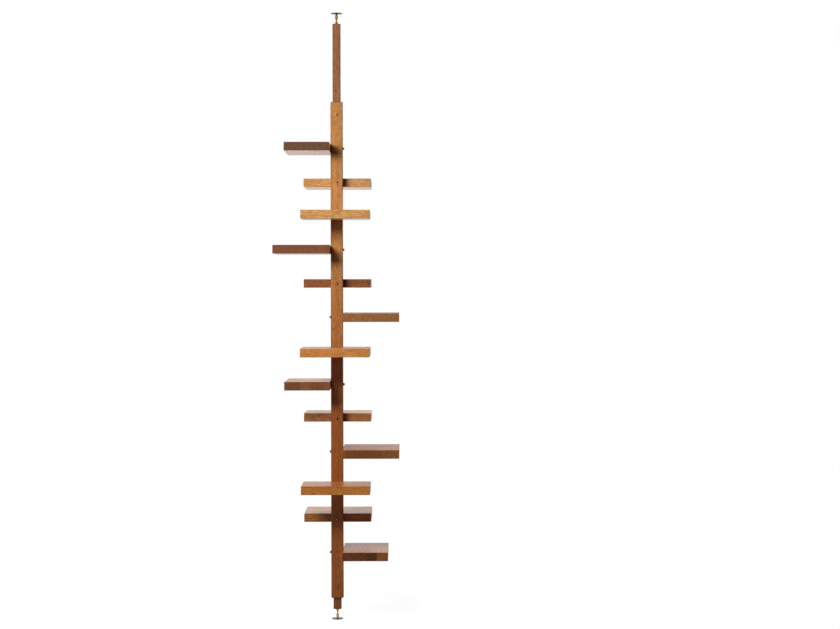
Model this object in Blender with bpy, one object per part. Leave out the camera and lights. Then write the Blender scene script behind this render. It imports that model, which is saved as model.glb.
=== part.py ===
"""Floor-to-ceiling bookcase: shelves bolted to the four sides of one square post.

Metres, +Z up. The origin is on the floor, under the middle of the post.
The front of the bookcase faces -Y and its right side faces +X.
"""

import math

import bmesh
import bpy
from mathutils import Matrix, Vector

# Clearances
FIT = 0.0003             # gap between two pieces that touch or seat on each other
POLE_FIT = 0.0003        # sliding gap on each side of a pole in its socket
JOURNAL_FIT = 0.0003     # running gap around a jack screw's journal

# Post, a box of four glued boards round a core
POST_WIDTH = 0.054
WALL = 0.009
ARRIS = 0.0030           # radius of the rounded outer corners of post and poles
ARRIS_STEPS = 3
POST_BELOW_PIN = 0.051   # from the lower lock screws down to the post's end
POST_ABOVE_PIN = 0.055   # from the upper lock screws up to the post's end
CORE_MARGIN = 0.010      # core left beyond the outermost shelf bolts

# Shelves, listed from the top one down
SHELF_WIDTH = 0.300
SHORT_DEPTH = 0.200
LONG_DEPTH = 0.250
SHELF_THICKNESS = 0.038
SHELF_EDGE = 0.0012      # chamfer round every edge of a shelf
SHELF_PITCH = 0.150      # from one shelf to the next, and to the lock screws
SHELF_PLAN = (
    ("left", SHORT_DEPTH, (105, 65, 50)),
    ("back", LONG_DEPTH, (190, 130, 72)),
    ("front", SHORT_DEPTH, (200, 140, 72)),
    ("left", LONG_DEPTH, (130, 80, 55)),
    ("back", SHORT_DEPTH, (152, 96, 60)),
    ("right", LONG_DEPTH, (142, 95, 60)),
    ("front", LONG_DEPTH, (200, 130, 66)),
    ("left", SHORT_DEPTH, (120, 76, 50)),
    ("back", SHORT_DEPTH, (126, 80, 50)),
    ("right", LONG_DEPTH, (130, 85, 55)),
    ("front", SHORT_DEPTH, (176, 114, 64)),
    ("back", LONG_DEPTH, (120, 72, 42)),
    ("right", SHORT_DEPTH, (112, 62, 36)),
)

# Shelf bolt with its threaded insert, and the dowels that keep a shelf level
BOLT_DIAMETER = 0.006
BOLT_REACH = 0.022       # how far the bolt goes into the shelf
BOLT_HEAD_DIAMETER = 0.012
BOLT_HEAD_HEIGHT = 0.007
INSERT_DIAMETER = 0.010
INSERT_LENGTH = 0.025
DOWEL_DIAMETER = 0.006
DOWEL_LENGTH = 0.007     # part of the dowel that stands out of the shelf
DOWEL_INSET = 0.008      # from the shelf's top or underside to the dowel's axis

# Poles that slide in the post's ends, with their rows of index holes
UPPER_POLE_SHOWN = 0.347
LOWER_POLE_SHOWN = 0.0515
INDEX_HOLE = 0.009
INDEX_DEPTH = 0.012
INDEX_PITCH = 0.035
POLE_TAIL = 0.0345       # pole left beyond its last index hole

# Lock screws, drawn backed off by their travel
LOCK_DIAMETER = 0.008
LOCK_TRAVEL = 0.003
LOCK_SETBACK = 0.0002    # from the tip at rest back to the socket's wall
LOCK_HEAD_DIAMETER = 0.012
LOCK_HEAD_HEIGHT = 0.0045

# Hex sockets and tips of the bolts and lock screws
KEY_WIDTH = 0.004        # across the flats
KEY_DEPTH = 0.0025
KEY_RIM = 0.0008         # least flat crown left round the hex socket
TIP_CHAMFER = 0.0006

# Jacks between the poles and the ceiling or the floor
CEILING_JACK_SHOWN = 0.049
FLOOR_JACK_SHOWN = 0.0465
CEILING_GRIP_LENGTH = 0.021
FLOOR_GRIP_LENGTH = 0.0145
CEILING_GRIP_DIAMETER = 0.0138
FLOOR_GRIP_DIAMETER = 0.0120
JACK_SCREW_DIAMETER = 0.0076
JACK_OUT = 0.020         # travel away from the pole
BORE_SPARE = 0.005       # bore left beyond the jack screw's innermost place
FERRULE_HEIGHT = 0.0125
FERRULE_FOOT_DIAMETER = 0.018
FERRULE_NECK_DIAMETER = 0.0100
SLEEVE_DIAMETER = 0.014
SLEEVE_LENGTH = 0.030
PAD_DIAMETER = 0.050
PAD_RIM = 0.0018
PAD_HEIGHT = 0.009
PAD_HUB_DIAMETER = 0.009
JOURNAL_DIAMETER = 0.0050
JOURNAL_LENGTH = 0.0045

# Curves of the turned pieces, as (share of the height, share of the spread)
HEAD_CURVE = ((0.35, 1.0), (0.75, 0.82), (1.0, 0.5))
FERRULE_CURVE = ((0.16, 1.0), (0.34, 0.62), (0.60, 0.24), (0.86, 0.03), (1.0, 0.0))
GRIP_CURVE = ((0.08, 0.35), (0.34, 1.0), (0.86, 1.0), (0.96, 0.85), (1.0, 0.55))
PAD_CURVE = ((0.12, 0.62), (0.30, 0.26), (0.58, 0.07), (1.0, 0.0))
RIM_ROUND = 0.25         # share of the pad's rim that is eased

# Facets round a turned piece
FINE = 32
TURNED = 24
SMALL = 12

# Colours of the materials, as 0 to 255 sRGB
POST_COLOUR = (165, 105, 60)
POLE_COLOUR = (150, 92, 58)
CORE_COLOUR = (170, 120, 80)
BRASS_COLOUR = (214, 182, 112)

# Places worked out from the sizes above
SOCKET = POST_WIDTH - 2 * WALL
POLE_WIDTH = SOCKET - 2 * POLE_FIT
FACE = POST_WIDTH / 2
LOWER_POLE_END = FLOOR_JACK_SHOWN
POST_BOTTOM = LOWER_POLE_END + LOWER_POLE_SHOWN
LOWER_PIN = POST_BOTTOM + POST_BELOW_PIN
UPPER_PIN = LOWER_PIN + (len(SHELF_PLAN) + 1) * SHELF_PITCH
POST_TOP = UPPER_PIN + POST_ABOVE_PIN
UPPER_POLE_END = POST_TOP + UPPER_POLE_SHOWN
CORE_BOTTOM = LOWER_PIN + SHELF_PITCH - CORE_MARGIN
CORE_TOP = UPPER_PIN - SHELF_PITCH + CORE_MARGIN
INDEX_STEPS = int((SHELF_PITCH - CORE_MARGIN - FIT - POLE_TAIL) / INDEX_PITCH)
TURN_TO = {"right": 0.0, "back": 90.0, "left": 180.0, "front": 270.0}


def shelf_height(index):
    """Height of the middle of shelf number index, counted from 0 at the top."""
    return UPPER_PIN - (index + 1) * SHELF_PITCH


# Materials

def linear(colour):
    """Turn a 0 to 255 sRGB colour into the linear RGBA that a shader wants."""
    return tuple((c / 255) ** 2.2 for c in colour) + (1.0,)


def make_material(name, colour, roughness, metallic):
    material = bpy.data.materials.new(name)
    material.use_nodes = True
    shader = material.node_tree.nodes["Principled BSDF"]
    shader.inputs["Base Color"].default_value = linear(colour)
    shader.inputs["Roughness"].default_value = roughness
    shader.inputs["Metallic"].default_value = metallic
    material.diffuse_color = linear(colour)
    return material


def wood(name, colour):
    return make_material(name, colour, 0.45, 0.0)


def brass(name):
    return make_material(name, BRASS_COLOUR, 0.22, 1.0)


# Mesh tools

def new_object(name, mesh, material, location=(0, 0, 0), rotation=(0, 0, 0)):
    """Put a mesh in the scene as one named piece; rotation is in degrees."""
    thing = bpy.data.objects.new(name, mesh)
    bpy.context.scene.collection.objects.link(thing)
    thing.location = location
    thing.rotation_euler = [math.radians(angle) for angle in rotation]
    if material:
        mesh.materials.append(material)
    return thing


def mesh_from(name, bm):
    bmesh.ops.recalc_face_normals(bm, faces=bm.faces)
    mesh = bpy.data.meshes.new(name)
    bm.to_mesh(mesh)
    bm.free()
    return mesh


def box_mesh(name, low, high, chamfer=0.0):
    """A box between two corners, with an optional chamfer on all its edges."""
    low, high = Vector(low), Vector(high)
    bm = bmesh.new()
    bmesh.ops.create_cube(bm, size=1.0)
    bmesh.ops.scale(bm, vec=high - low, verts=bm.verts)
    bmesh.ops.translate(bm, vec=(low + high) / 2, verts=bm.verts)
    if chamfer:
        bmesh.ops.bevel(bm, geom=bm.edges[:], offset=chamfer, segments=1, affect="EDGES")
    return mesh_from(name, bm)


def prism_mesh(name, outline, z_low, z_high):
    """An outline in X and Y, extruded between two heights."""
    bm = bmesh.new()
    face = bm.faces.new([bm.verts.new((x, y, z_low)) for x, y in outline])
    grown = bmesh.ops.extrude_face_region(bm, geom=[face])
    top = [v for v in grown["geom"] if isinstance(v, bmesh.types.BMVert)]
    bmesh.ops.translate(bm, vec=(0, 0, z_high - z_low), verts=top)
    return mesh_from(name, bm)


def add_turned(bm, profile, facets, place=None, closed=False):
    """Turn a profile of (height, radius, is_hex) points round Z.

    An open profile is capped flat at both ends. A closed one is a tube, whose
    last point joins its first. A hex point has its radius at the flats.
    """
    rings = []
    for height, radius, is_hex in profile:
        ring = []
        for step in range(facets):
            angle = 2 * math.pi * step / facets
            reach = radius
            if is_hex:
                from_flat = (angle % (math.pi / 3)) - math.pi / 6
                reach = radius / math.cos(from_flat)
            point = Vector((reach * math.cos(angle), reach * math.sin(angle), height))
            ring.append(bm.verts.new(place @ point if place else point))
        rings.append(ring)
    pairs = list(zip(rings, rings[1:]))
    if closed:
        pairs.append((rings[-1], rings[0]))
    else:
        bm.faces.new(rings[0])
        bm.faces.new(rings[-1])
    for low, high in pairs:
        for step in range(facets):
            after = (step + 1) % facets
            bm.faces.new((low[step], low[after], high[after], high[step]))


def turned_mesh(name, profile, facets, closed=False):
    bm = bmesh.new()
    add_turned(bm, profile, facets, closed=closed)
    mesh = mesh_from(name, bm)
    mesh.shade_smooth()
    mesh.set_sharp_from_angle(angle=math.radians(35))
    return mesh


def round_points(*points):
    """Profile points of a plain round piece, from (height, radius) pairs."""
    return [(height, radius, False) for height, radius in points]


def boolean(target, kind, bm, name):
    """Cut or join a bmesh tool to a piece, with the tool kept as a wire guide."""
    tool = new_object(name, mesh_from(name, bm), None)
    tool.hide_render = True
    tool.display_type = "WIRE"
    tool.matrix_world = target.matrix_basis.copy()
    modifier = target.modifiers.new(name, "BOOLEAN")
    modifier.operation = kind
    modifier.object = tool
    modifier.solver = "EXACT"


def along_x(side="right", y=0.0, z=0.0):
    """Matrix that lays local Z along the outward direction of one side."""
    turn = Matrix.Rotation(math.radians(TURN_TO[side]), 4, "Z")
    return turn @ Matrix.Translation((0, y, z)) @ Matrix.Rotation(math.pi / 2, 4, "Y")


# Post

def opposite(side):
    return {"left": "right", "right": "left", "front": "back", "back": "front"}[side]


def post_holes(sides):
    """Cutter for the boards on the given sides: bolts, dowels and lock screws."""
    bm = bmesh.new()
    bolt_radius = BOLT_DIAMETER / 2 + FIT
    dowel_radius = DOWEL_DIAMETER / 2 + FIT
    dowel_floor = FACE - DOWEL_LENGTH - FIT
    for index, (side, _, _) in enumerate(SHELF_PLAN):
        if side not in sides and opposite(side) not in sides:
            continue
        place = along_x(side, z=shelf_height(index))
        through = round_points((-POST_WIDTH, bolt_radius), (POST_WIDTH, bolt_radius))
        add_turned(bm, through, SMALL, place)
        if side not in sides:
            continue
        for up in (-1, 1):
            lift = up * (SHELF_THICKNESS / 2 - DOWEL_INSET)
            place = along_x(side, z=shelf_height(index) + lift)
            blind = round_points((dowel_floor, dowel_radius), (POST_WIDTH, dowel_radius))
            add_turned(bm, blind, SMALL, place)
    if "front" in sides or "back" in sides:
        lock_radius = LOCK_DIAMETER / 2 + FIT
        for height in (LOWER_PIN, UPPER_PIN):
            place = along_x("front", z=height)
            through = round_points((-POST_WIDTH, lock_radius), (POST_WIDTH, lock_radius))
            add_turned(bm, through, TURNED, place)
    return bm


def rounded_corner(x, y):
    """Quarter round inside an outer corner, from its X side to its Y side."""
    across, along = math.copysign(ARRIS, x), math.copysign(ARRIS, y)
    angles = [math.pi / 2 * step / ARRIS_STEPS for step in range(ARRIS_STEPS + 1)]
    return [
        (x - across * (1 - math.cos(angle)), y - along * (1 - math.sin(angle)))
        for angle in angles
    ]


def make_wide_board(side):
    """Front or back board, as wide as the post, with its outer corners rounded."""
    outline = [(-FACE, FACE - WALL), (FACE, FACE - WALL)]
    outline += rounded_corner(FACE, FACE) + rounded_corner(-FACE, FACE)[::-1]
    sign = 1 if side == "back" else -1
    name = f"post_{side}_board"
    mesh = prism_mesh(name, [(x, sign * y) for x, y in outline], POST_BOTTOM, POST_TOP)
    board = new_object(name, mesh, wood(name, POST_COLOUR))
    boolean(board, "DIFFERENCE", post_holes((side,)), f"{name}_holes")


def make_narrow_board(side):
    """Left or right board, held between the two wide ones."""
    sign = 1 if side == "right" else -1
    across = sorted((sign * (FACE - WALL), sign * FACE))
    along = SOCKET / 2 - FIT
    name = f"post_{side}_board"
    mesh = box_mesh(name, (across[0], -along, POST_BOTTOM), (across[1], along, POST_TOP))
    board = new_object(name, mesh, wood(name, POST_COLOUR))
    boolean(board, "DIFFERENCE", post_holes((side,)), f"{name}_holes")


def make_core():
    """Block between the two sockets, which takes the pull of the shelf bolts."""
    half = SOCKET / 2 - FIT
    mesh = box_mesh("post_core", (-half, -half, CORE_BOTTOM), (half, half, CORE_TOP))
    core = new_object("post_core", mesh, wood("post_core", CORE_COLOUR))
    bm = bmesh.new()
    radius = BOLT_DIAMETER / 2 + FIT
    for index, (side, _, _) in enumerate(SHELF_PLAN):
        through = round_points((-POST_WIDTH, radius), (POST_WIDTH, radius))
        add_turned(bm, through, SMALL, along_x(side, z=shelf_height(index)))
    boolean(core, "DIFFERENCE", bm, "post_core_holes")


# Shelves

def make_shelf(index, side, depth, colour):
    """Shelf with its two dowels, built along +X and turned to its side."""
    name = f"shelf_{index + 1:02d}"
    inner = FACE + FIT
    half_width, half_thick = SHELF_WIDTH / 2, SHELF_THICKNESS / 2
    mesh = box_mesh(
        name,
        (inner, -half_width, -half_thick),
        (FACE + depth, half_width, half_thick),
        SHELF_EDGE,
    )
    place = dict(location=(0, 0, shelf_height(index)), rotation=(0, 0, TURN_TO[side]))
    shelf = new_object(name, mesh, wood(name, colour), **place)
    dowels = bmesh.new()
    for up in (-1, 1):
        pegs = round_points(
            (FACE - DOWEL_LENGTH, DOWEL_DIAMETER / 2),
            (inner + DOWEL_LENGTH, DOWEL_DIAMETER / 2),
        )
        add_turned(dowels, pegs, SMALL, along_x(z=up * (half_thick - DOWEL_INSET)))
    boolean(shelf, "UNION", dowels, f"{name}_dowels")
    hole = bmesh.new()
    radius = INSERT_DIAMETER / 2 + FIT
    bore = round_points((FACE - FIT, radius), (inner + INSERT_LENGTH + FIT, radius))
    add_turned(hole, bore, SMALL, along_x())
    boolean(shelf, "DIFFERENCE", hole, f"{name}_bore")


def curve_points(curve, start, height, low_radius, high_radius):
    """Points of a named curve, from its shares of a height and of two radii."""
    spread = high_radius - low_radius
    return [(start + rise * height, low_radius + share * spread) for rise, share in curve]


def screw_profile(tip, seat, diameter, head_diameter, head_height):
    """Round-headed screw along Z, from its tip up to a head that starts at seat."""
    shank, head, key = diameter / 2, head_diameter / 2, KEY_WIDTH / 2
    points = [(tip, shank - TIP_CHAMFER), (tip + TIP_CHAMFER, shank), (seat, shank)]
    points.append((seat, head))
    points += curve_points(HEAD_CURVE, seat, head_height, 0.0, head)
    top, crown = points.pop()
    points.append((top, max(crown, key + KEY_RIM)))
    return round_points(*points) + [(top, key, True), (top - KEY_DEPTH, key, True)]


def shelf_bolt_mesh():
    """Bolt that pulls a shelf onto the post, with its head on the far face."""
    profile = screw_profile(
        -(FACE + FIT + BOLT_REACH), FACE + FIT,
        BOLT_DIAMETER, BOLT_HEAD_DIAMETER, BOLT_HEAD_HEIGHT,
    )
    mesh = turned_mesh("shelf_bolt", profile, SMALL)
    mesh.transform(along_x("left"))
    return mesh


def shelf_insert_mesh():
    """Threaded brass bush in the shelf's end, plain-bored here."""
    start = FACE + 2 * FIT
    outer, inner = INSERT_DIAMETER / 2, BOLT_DIAMETER / 2 + FIT
    end = start + INSERT_LENGTH - FIT
    profile = round_points((start, outer), (end, outer), (end, inner), (start, inner))
    mesh = turned_mesh("shelf_insert", profile, SMALL, closed=True)
    mesh.transform(along_x())
    return mesh


def make_shelves():
    bolt_mesh = shelf_bolt_mesh()
    insert_mesh = shelf_insert_mesh()
    for index, (side, depth, colour) in enumerate(SHELF_PLAN):
        make_shelf(index, side, depth, colour)
        number = f"{index + 1:02d}"
        place = dict(location=(0, 0, shelf_height(index)), rotation=(0, 0, TURN_TO[side]))
        for name, mesh in (("shelf_bolt", bolt_mesh), ("shelf_insert", insert_mesh)):
            label = f"{name}_{number}"
            new_object(label, mesh.copy(), brass(label), **place)


# Poles and lock screws

def jack_neck(shown, grip_length):
    """Length of bare screw between ferrule and grip, which is its way inward."""
    return shown - PAD_HEIGHT - FIT - grip_length - FERRULE_HEIGHT


def make_pole(name, outer_end, inner_end, first_hole, neck):
    """Square pole, with blind index holes front and back and the bore for its jack."""
    half = POLE_WIDTH / 2
    outline = rounded_corner(half, -half)[::-1] + rounded_corner(half, half)
    outline += rounded_corner(-half, half)[::-1] + rounded_corner(-half, -half)
    low, high = sorted((0.0, inner_end - outer_end))
    mesh = prism_mesh(name, outline, low, high)
    pole = new_object(name, mesh, wood(name, POLE_COLOUR), location=(0, 0, outer_end))
    holes = bmesh.new()
    blind = round_points((half - INDEX_DEPTH, INDEX_HOLE / 2), (POST_WIDTH, INDEX_HOLE / 2))
    for count in range(INDEX_STEPS + 1):
        for side in ("front", "back"):
            place = along_x(side, z=first_hole + count * INDEX_PITCH - outer_end)
            add_turned(holes, blind, TURNED, place)
    inward = 1 if inner_end > outer_end else -1
    sleeve, screw = SLEEVE_DIAMETER / 2 + FIT, JACK_SCREW_DIAMETER / 2 + FIT
    shoulder = SLEEVE_LENGTH + FIT
    floor = SLEEVE_LENGTH + JACK_OUT + neck + BORE_SPARE
    bore = round_points(
        (-inward * FERRULE_HEIGHT, sleeve), (inward * shoulder, sleeve),
        (inward * shoulder, screw), (inward * floor, screw),
    )
    add_turned(holes, bore, TURNED)
    boolean(pole, "DIFFERENCE", holes, f"{name}_holes")


def make_lock_screw(name, side, height):
    """Screw through the post's wall, whose tip enters an index hole when driven."""
    tip = FACE - WALL + LOCK_SETBACK
    seat = FACE + LOCK_TRAVEL
    profile = screw_profile(tip, seat, LOCK_DIAMETER, LOCK_HEAD_DIAMETER, LOCK_HEAD_HEIGHT)
    mesh = turned_mesh(name, profile, TURNED)
    mesh.transform(along_x())
    new_object(
        name, mesh, brass(name),
        location=(0, 0, height), rotation=(0, 0, TURN_TO[side]),
    )


# Jacks, each built outward along +Z from the end of its pole

def ferrule_mesh(name):
    """Flared foot on the pole's end, with a threaded sleeve inside the pole."""
    foot, neck = FERRULE_FOOT_DIAMETER / 2, FERRULE_NECK_DIAMETER / 2
    sleeve, bore = SLEEVE_DIAMETER / 2, JACK_SCREW_DIAMETER / 2 + FIT
    points = [(-SLEEVE_LENGTH, sleeve), (FIT, sleeve), (FIT, foot)]
    points += curve_points(FERRULE_CURVE, 0.0, FERRULE_HEIGHT, neck, foot)
    points += [(FERRULE_HEIGHT, bore), (-SLEEVE_LENGTH, bore)]
    return turned_mesh(name, round_points(*points), TURNED, closed=True)


def jack_screw_mesh(name, shown, grip_length, grip_diameter):
    """Screw and its turned grip in one piece, with a journal for the pad."""
    screw, grip, journal = JACK_SCREW_DIAMETER / 2, grip_diameter / 2, JOURNAL_DIAMETER / 2
    inner_end = -(SLEEVE_LENGTH + JACK_OUT)
    hub = shown - PAD_HEIGHT
    grip_start = hub - FIT - grip_length
    points = [(inner_end, screw - TIP_CHAMFER), (inner_end + TIP_CHAMFER, screw)]
    points.append((grip_start, screw))
    points += curve_points(GRIP_CURVE, grip_start, grip_length, screw, grip)
    points += [(hub - FIT, journal), (hub + JOURNAL_LENGTH, journal)]
    return turned_mesh(name, round_points(*points), TURNED)


def pad_mesh(name):
    """Thin disc that bears on the ceiling or the floor, with a flared hub."""
    disc, hub = PAD_DIAMETER / 2, PAD_HUB_DIAMETER / 2
    socket = JOURNAL_DIAMETER / 2 + JOURNAL_FIT
    ease, rim_base = RIM_ROUND * PAD_RIM, PAD_HEIGHT - PAD_RIM
    points = [(PAD_HEIGHT, disc - ease), (PAD_HEIGHT - ease, disc), (rim_base, disc)]
    points += curve_points(PAD_CURVE, rim_base, -rim_base, hub, disc)
    points += [(0.0, socket), (JOURNAL_LENGTH + JOURNAL_FIT, socket)]
    return turned_mesh(name, round_points(*points), FINE)


def make_jack(end, pole_end, shown, grip_length, grip_diameter):
    """Ferrule, jack screw and pad at one end of the bookcase."""
    tilt = 0 if end == "ceiling" else 180
    outward = 1 if end == "ceiling" else -1
    name = f"{end}_ferrule"
    new_object(
        name, ferrule_mesh(name), brass(name),
        location=(0, 0, pole_end), rotation=(tilt, 0, 0),
    )
    name = f"{end}_jack_screw"
    new_object(
        name, jack_screw_mesh(name, shown, grip_length, grip_diameter), brass(name),
        location=(0, 0, pole_end), rotation=(tilt, 0, 0),
    )
    name = f"{end}_pad"
    new_object(
        name, pad_mesh(name), brass(name),
        location=(0, 0, pole_end + outward * (shown - PAD_HEIGHT)), rotation=(tilt, 0, 0),
    )


def main():
    for thing in list(bpy.data.objects):
        bpy.data.objects.remove(thing, do_unlink=True)
    for side in ("front", "back"):
        make_wide_board(side)
    for side in ("left", "right"):
        make_narrow_board(side)
    make_core()
    make_shelves()
    upper_neck = jack_neck(CEILING_JACK_SHOWN, CEILING_GRIP_LENGTH)
    lower_neck = jack_neck(FLOOR_JACK_SHOWN, FLOOR_GRIP_LENGTH)
    make_pole("upper_pole", UPPER_POLE_END, UPPER_PIN - POLE_TAIL, UPPER_PIN, upper_neck)
    make_pole("lower_pole", LOWER_POLE_END, CORE_BOTTOM - FIT, LOWER_PIN, lower_neck)
    for end, height in (("upper", UPPER_PIN), ("lower", LOWER_PIN)):
        for side in ("front", "back"):
            make_lock_screw(f"{end}_{side}_lock_screw", side, height)
    make_jack(
        "ceiling", UPPER_POLE_END, CEILING_JACK_SHOWN,
        CEILING_GRIP_LENGTH, CEILING_GRIP_DIAMETER,
    )
    make_jack(
        "floor", LOWER_POLE_END, FLOOR_JACK_SHOWN,
        FLOOR_GRIP_LENGTH, FLOOR_GRIP_DIAMETER,
    )


main()
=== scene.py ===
# %% [markdown]
# # A floor-to-ceiling bookcase in wood and brass
# Thirteen thick shelves are bolted to the four sides of one square post. Two
# poles telescope out of the post's ends, and a small brass jack on each pole
# presses a round pad against the ceiling or the floor.
# The solids come from a CAD model. We load them first, because every piece
# below is placed by them, and only the looks are made here.

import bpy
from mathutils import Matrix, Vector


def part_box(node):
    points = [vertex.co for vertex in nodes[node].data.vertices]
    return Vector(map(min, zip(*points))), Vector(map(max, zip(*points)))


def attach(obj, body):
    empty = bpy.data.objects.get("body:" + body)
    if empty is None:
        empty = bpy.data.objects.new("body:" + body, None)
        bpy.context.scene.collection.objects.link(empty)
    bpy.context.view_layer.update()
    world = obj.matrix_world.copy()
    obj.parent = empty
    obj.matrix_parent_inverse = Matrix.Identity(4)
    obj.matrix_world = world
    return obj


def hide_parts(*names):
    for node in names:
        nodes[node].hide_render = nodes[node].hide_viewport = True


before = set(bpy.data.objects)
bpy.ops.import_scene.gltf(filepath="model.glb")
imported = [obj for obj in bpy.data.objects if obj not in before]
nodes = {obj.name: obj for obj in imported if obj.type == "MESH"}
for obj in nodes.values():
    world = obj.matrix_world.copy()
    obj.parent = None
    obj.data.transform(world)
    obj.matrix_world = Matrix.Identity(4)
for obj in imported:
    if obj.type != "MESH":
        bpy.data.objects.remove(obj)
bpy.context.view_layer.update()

import math

import bmesh
import bpy
from mathutils import Matrix, Vector

scene = bpy.context.scene

# %% [markdown]
# ## The camera
# The photograph was taken from almost eight metres away with a long lens, so
# the shelves show only a sliver of their tops and undersides. The numbers come
# from a least-squares fit to the edges of the shelves. A camera looks along its
# own -Z with +Y up, so we build those three directions and put them in a matrix.

# %% Camera
LENS_MM = 76.58
CAMERA_PLACE = Vector((0.3065, -7.9703, 1.492))
YAW = 0.00794
PITCH = -0.01657
ROLL = -0.00119

ahead = Vector((
    math.sin(YAW) * math.cos(PITCH),
    math.cos(YAW) * math.cos(PITCH),
    math.sin(PITCH),
))
level = Vector((math.cos(YAW), -math.sin(YAW), 0))
upward = level.cross(ahead)
across = math.cos(ROLL) * level + math.sin(ROLL) * upward
upright = math.cos(ROLL) * upward - math.sin(ROLL) * level

camera_data = bpy.data.cameras.new("camera")
camera_data.lens = LENS_MM
camera_data.sensor_width = 36.0
camera_data.sensor_fit = "HORIZONTAL"
camera_data.clip_end = 100.0
camera = bpy.data.objects.new("camera", camera_data)
turn = Matrix((across, upright, -ahead)).transposed().to_4x4()
camera.matrix_world = Matrix.Translation(CAMERA_PLACE) @ turn
scene.collection.objects.link(camera)
bpy.context.scene.camera = camera
print("camera stands", round(CAMERA_PLACE.length, 2), "m from the foot of the post")

# %% [markdown]
# ## Small tools for node trees
# Shader trees and Geometry Nodes trees are built the same way: add a node, set
# its properties, then give each socket a value or a link. One helper does that,
# and the others shorten the nodes that are used all the time.

# %% Node helpers
def add_node(tree, kind, inputs=None, **settings):
    """Add a node, set its properties, then fill its sockets with values or links."""
    node = tree.nodes.new(kind)
    for key, value in settings.items():
        setattr(node, key, value)
    for key, value in (inputs or {}).items():
        if isinstance(value, bpy.types.NodeSocket):
            tree.links.new(value, node.inputs[key])
        else:
            node.inputs[key].default_value = value
    return node


def output(tree, kind, inputs=None, **settings):
    """First output of a new node."""
    return add_node(tree, kind, inputs, **settings).outputs[0]


def maths(tree, operation, *values):
    """Output of a Math node."""
    return output(tree, "ShaderNodeMath", dict(enumerate(values)), operation=operation)


def vectors(tree, operation, *values):
    """Vector that a Vector Math node works out."""
    return output(tree, "ShaderNodeVectorMath", dict(enumerate(values)), operation=operation)


def measure(tree, operation, *values):
    """Number that a Vector Math node works out, such as a length."""
    inputs = dict(enumerate(values))
    return add_node(tree, "ShaderNodeVectorMath", inputs, operation=operation).outputs["Value"]


def split(tree, vector):
    """X, Y and Z of a vector."""
    return add_node(tree, "ShaderNodeSeparateXYZ", {0: vector}).outputs


print("six helpers add nodes and read their outputs")

# %% [markdown]
# Masks come from ranges and noise. A colour picked on a screen is sRGB, while a
# shader calculates with linear light.

# %% Mask and colour helpers
def ramp(tree, value, low, high, out_low=0.0, out_high=1.0):
    """Smoothly map a value from one range to another, held at the ends."""
    inputs = {0: value, 1: low, 2: high, 3: out_low, 4: out_high}
    return output(tree, "ShaderNodeMapRange", inputs, interpolation_type="SMOOTHSTEP")


def noise(tree, place, scale, detail, rough):
    """Outputs of a Noise Texture."""
    inputs = {"Vector": place, "Scale": scale, "Detail": detail, "Roughness": rough}
    return add_node(tree, "ShaderNodeTexNoise", inputs).outputs


def blend(tree, factor, first, second, kind="MIX"):
    """Mix two colours, or with MULTIPLY tint the first by the second."""
    inputs = {0: factor, 6: first, 7: second}
    return add_node(tree, "ShaderNodeMix", inputs, data_type="RGBA", blend_type=kind).outputs[2]


def linear(red, green, blue):
    """A 0 to 255 sRGB colour as the linear RGBA that a shader wants."""
    return tuple((part / 255) ** 2.2 for part in (red, green, blue)) + (1.0,)


print("a mid grey in linear light:", round(linear(128, 128, 128)[0], 2))

# %% [markdown]
# ## Light
# A studio with one softbox ahead and to the left, above head height. Its place
# can be read from the photograph: the post's shadow falls to the right on the
# back shelves, and the shadows under the front shelves get longer towards the
# floor. Everything behind the bookcase is a white backdrop, which lights tops,
# undersides and backs, while the room around the camera stays dim.

# %% Softbox
SOFTBOX_TURN = math.radians(25)
SOFTBOX_AWAY = 2.5
SOFTBOX_HEIGHT = 2.55
SOFTBOX_AIM = Vector((0, 0, 1.7))
SOFTBOX_SIZE = (1.1, 0.75)
SOFTBOX_WATTS = 66.0

softbox_data = bpy.data.lights.new("softbox", "AREA")
softbox_data.shape = "RECTANGLE"
softbox_data.size, softbox_data.size_y = SOFTBOX_SIZE
softbox_data.energy = SOFTBOX_WATTS
softbox = bpy.data.objects.new("softbox", softbox_data)
softbox.location = (
    -SOFTBOX_AWAY * math.sin(SOFTBOX_TURN),
    -SOFTBOX_AWAY * math.cos(SOFTBOX_TURN),
    SOFTBOX_HEIGHT,
)
to_aim = SOFTBOX_AIM - softbox.location
softbox.rotation_euler = to_aim.to_track_quat("-Z", "Y").to_euler()
softbox.visible_glossy = False
scene.collection.objects.link(softbox)
print("softbox at", [round(part, 2) for part in softbox.location])

# %% [markdown]
# The world is that white backdrop, and a Light Path node tells who looks at it.
# Light for matt surfaces comes from the half behind the bookcase, which the
# direction's Y tells, and most of it from low down, where the backdrop curves
# into the sweep.

# %% World for matt surfaces
BACKDROP_HIGH = 0.30
BACKDROP_LOW = 2.1
SWEEP_CURVE = (-0.10, 0.15)
ROOM_LIGHT = 0.01
ROOM_TO_BACKDROP = (-0.10, 0.25)

world = bpy.data.worlds.new("white studio")
world.use_nodes = True
scene.world = world
sky = world.node_tree
sky.nodes.clear()
direction = add_node(sky, "ShaderNodeTexCoord").outputs["Generated"]
axes = split(sky, direction)
behind = ramp(sky, axes["Z"], *SWEEP_CURVE, BACKDROP_LOW, BACKDROP_HIGH)
for_matt = ramp(sky, axes["Y"], *ROOM_TO_BACKDROP, ROOM_LIGHT, behind)
print("world nodes so far:", len(sky.nodes))

# %% [markdown]
# Reflections see white behind, a tall white patch towards the softbox, a grey
# sweep below and a dim room around the camera. The patch gives the brass its
# highlights softly, so the softbox itself is kept out of reflections, where it
# would burn out the oil. The camera sees plain white, at strength 1.

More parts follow.
